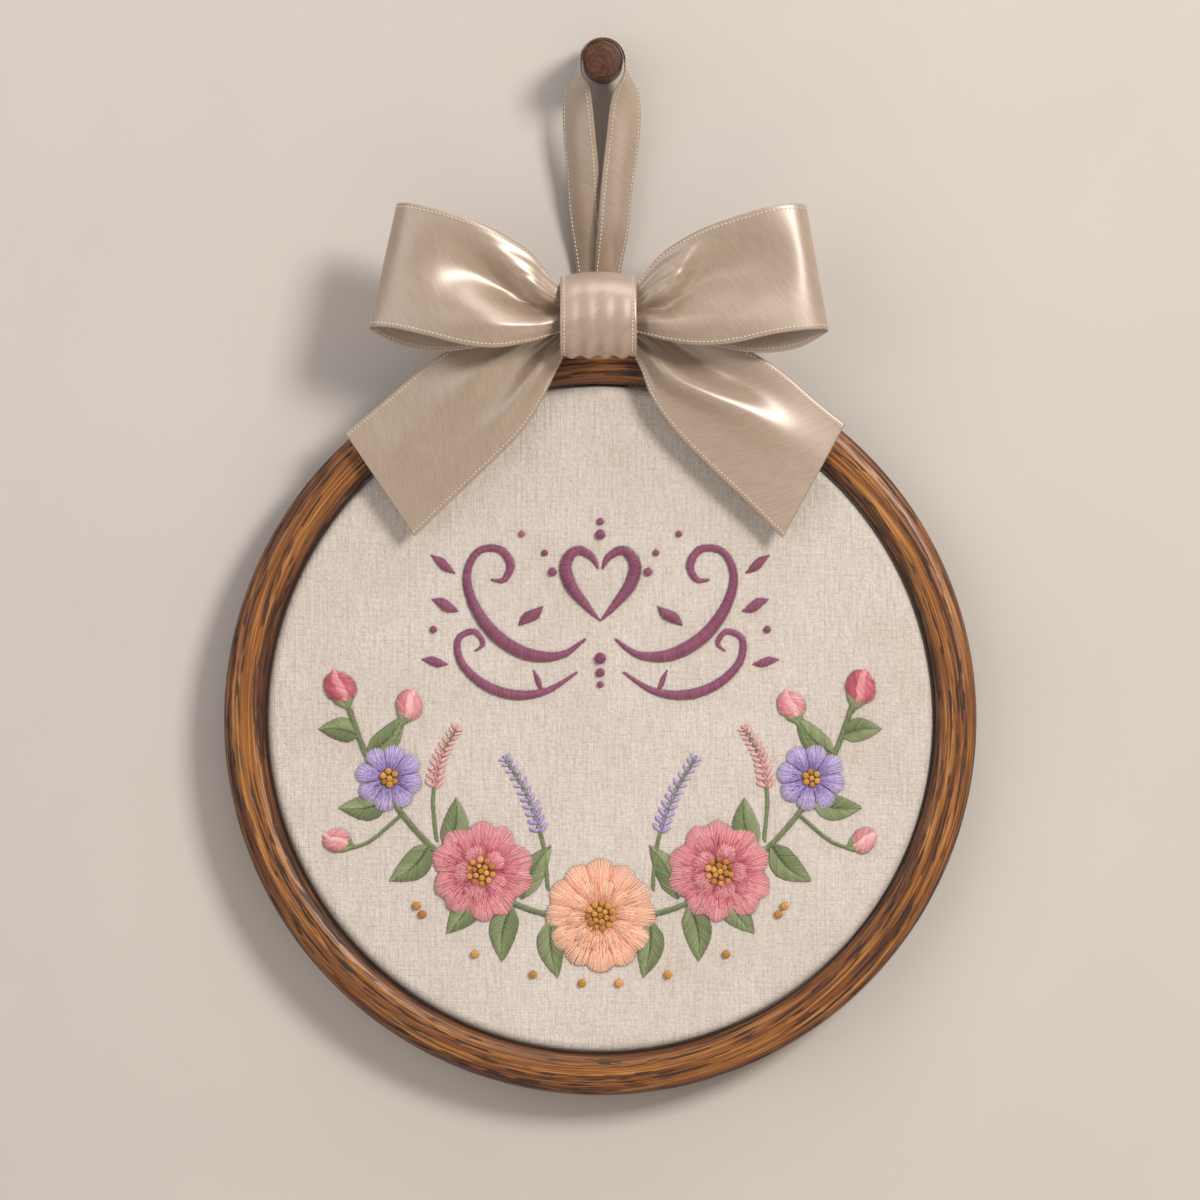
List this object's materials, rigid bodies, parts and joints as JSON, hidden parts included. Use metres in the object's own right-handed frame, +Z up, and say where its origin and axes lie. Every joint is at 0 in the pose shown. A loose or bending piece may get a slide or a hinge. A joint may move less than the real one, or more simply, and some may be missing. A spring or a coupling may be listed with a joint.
{
  "type": "hoop embroidery art hanging on a peg",
  "caption": "Round linen stretched in a wooden embroidery hoop and worked in stitches, hung by a satin ribbon loop from a short wooden peg, with a wide satin bow at its top",
  "frame": {"origin": "centre of the peg's back face, on the wall", "axes": "+Z up, +Y into the wall, +X to the right of a person who faces the wall"},
  "size_m": [0.23, 0.0414, 0.3235],
  "materials": {
    "walnut": "oiled dark dowel",
    "oak": "satin varnish over open grain",
    "beech": "bare, sanded",
    "linen": "plain weave with slubs",
    "satin": "satin weave, glossy"
  },
  "bodies": {
    "root": {"peg": "walnut", "outer_hoop": "oak", "inner_hoop": "beech", "linen": "linen", "hanging_loop": "satin", "bow_tails": "satin", "bow_loops": "satin", "knot_band": "satin"}
  },
  "joints": []
}
